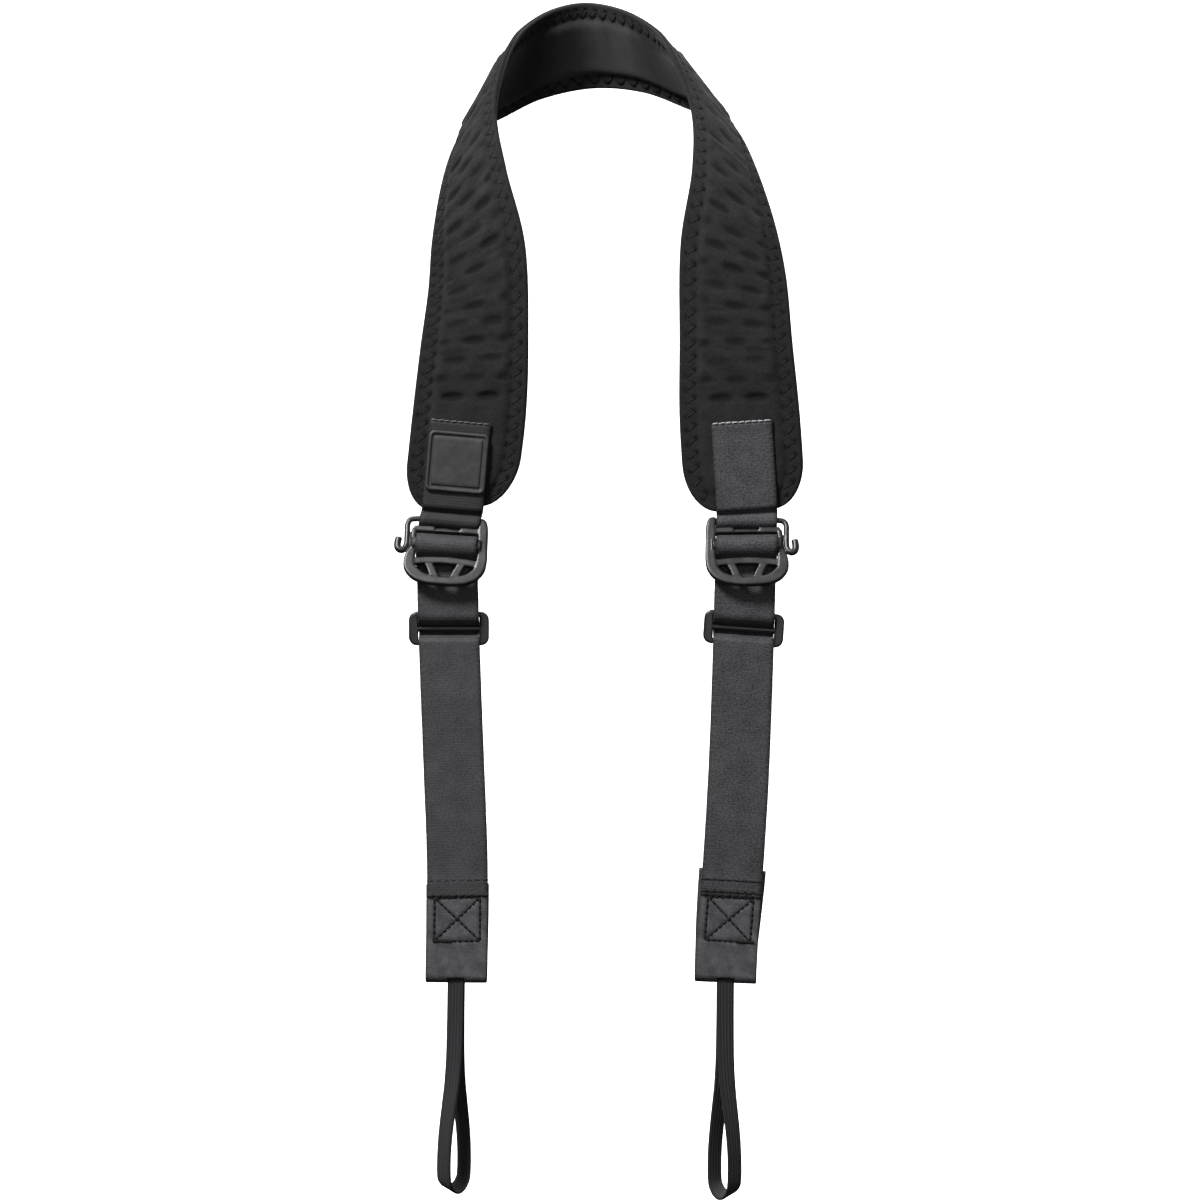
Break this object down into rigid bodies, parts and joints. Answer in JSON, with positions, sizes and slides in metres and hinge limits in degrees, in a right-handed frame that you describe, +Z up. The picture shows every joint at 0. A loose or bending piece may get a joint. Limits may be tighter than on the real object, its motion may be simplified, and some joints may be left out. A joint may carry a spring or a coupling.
{
  "type": "binocular harness strap",
  "caption": "Padded neck collar with hook buckles, adjustable webbing straps, folded end tabs and tape loops for carrying binoculars.",
  "frame": {"origin": "on the lining at the middle of the back of the neck, where the collar sits", "axes": "+Z up, +X to the right as seen from the front, -Y towards the front of the chest"},
  "size_m": [0.1676, 0.1176, 0.5022],
  "materials": {
    "pad_fabric": "black foam-backed knit with pressed vent dents and zigzag border stitching",
    "lining_fabric": "smooth charcoal knit lining",
    "webbing": "charcoal woven nylon webbing with sewn selvedges",
    "tab_leather": "dark grey synthetic leather with box stitching",
    "loop_tape": "black braided flat tape",
    "buckle_plastic": "satin black moulded plastic",
    "slider_plastic": "black moulded plastic",
    "patch_rubber": "black moulded rubber with a raised rim, bare"
  },
  "bodies": {
    "root": {"pad_face": "pad_fabric", "pad_lining": "lining_fabric", "left_anchor_webbing": "webbing", "right_anchor_webbing": "webbing", "left_label_patch": "patch_rubber", "left_hook_buckle": "buckle_plastic", "right_hook_buckle": "buckle_plastic", "left_strap_webbing": "webbing", "right_strap_webbing": "webbing", "left_slider": "slider_plastic", "right_slider": "slider_plastic", "left_end_tab": "tab_leather", "right_end_tab": "tab_leather", "left_cord_loop": "loop_tape", "right_cord_loop": "loop_tape"}
  },
  "joints": []
}
